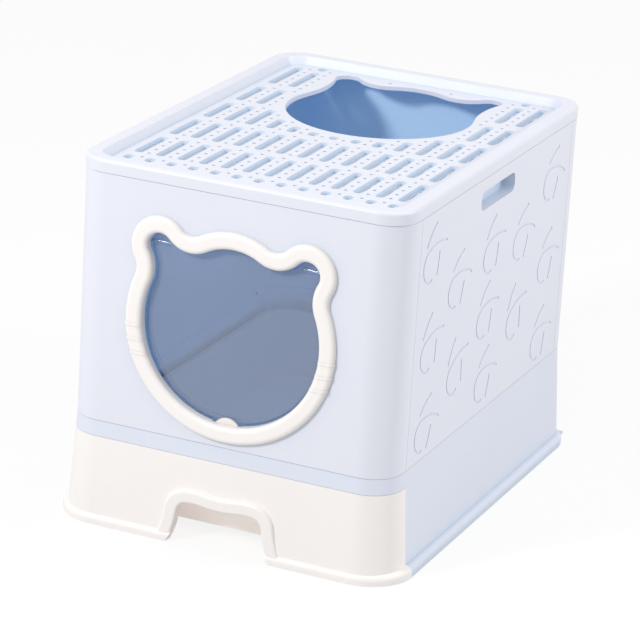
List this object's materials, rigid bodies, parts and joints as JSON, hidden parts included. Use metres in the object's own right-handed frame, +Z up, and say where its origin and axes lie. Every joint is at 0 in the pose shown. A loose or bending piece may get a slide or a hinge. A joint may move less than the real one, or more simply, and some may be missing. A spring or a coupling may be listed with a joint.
{
  "type": "covered litter box",
  "caption": "Covered litter box with a pull-out drawer, folding side panels, a hinged grille lid with a top opening, and a cat-head door with a clear flap and lock tab.",
  "frame": {"origin": "centre of the plan at the floor, under the middle of the box", "axes": "+X across the box to its right side seen from the front, +Y from the door to the rear, +Z up"},
  "size_m": [0.3996, 0.5286, 0.398],
  "materials": {
    "body_plastic": "satin moulded",
    "drawer_plastic": "satin moulded",
    "cream_plastic": "gloss moulded",
    "white_tab": "gloss moulded",
    "clear_flap": "clear tinted",
    "steel": "plain"
  },
  "bodies": {
    "root": {"base_frame": "body_plastic", "front_panel": "body_plastic", "rear_panel": "body_plastic", "lid_hinge_pins": "steel", "left_panel_pins": "steel", "right_panel_pins": "steel", "front_panel_pins": "steel", "rear_panel_pins": "steel", "door_ring": "cream_plastic", "door_clamp_ring": "cream_plastic", "door_screws": "steel", "door_lock_pin": "white_tab"},
    "drawer": {"litter_drawer": "drawer_plastic"},
    "left_panel": {"left_side_panel": "body_plastic"},
    "right_panel": {"right_side_panel": "body_plastic"},
    "lid": {"lid": "body_plastic"},
    "flap": {"door_flap": "clear_flap"},
    "lock_tab": {"door_lock_tab": "white_tab"}
  },
  "joints": [
    {"name": "drawer_slide", "type": "slide", "parent": "root", "child": "drawer", "axis": [0, -1, 0], "range_m": [0, 0.35]},
    {"name": "lid_hinge", "type": "hinge", "parent": "root", "child": "lid", "pos_m": [0, 0.26, 0.383], "axis": [-1, 0, 0], "range_deg": [0, 100]},
    {"name": "door_swing", "type": "hinge", "parent": "root", "child": "flap", "pos_m": [0, -0.2482, 0.32], "axis": [1, 0, 0], "range_deg": [0, 75]},
    {"name": "lock_turn", "type": "hinge", "parent": "root", "child": "lock_tab", "pos_m": [0, -0.2518, 0.13], "axis": [0, 1, 0], "range_deg": [0, 180]},
    {"name": "left_panel_fold", "type": "hinge", "parent": "root", "child": "left_panel", "pos_m": [-0.177, 0, 0.1185], "axis": [0, 1, 0], "range_deg": [0, 90]},
    {"name": "right_panel_fold", "type": "hinge", "parent": "root", "child": "right_panel", "pos_m": [0.177, 0, 0.137], "axis": [0, 1, 0], "range_deg": [-90, 0]}
  ]
}
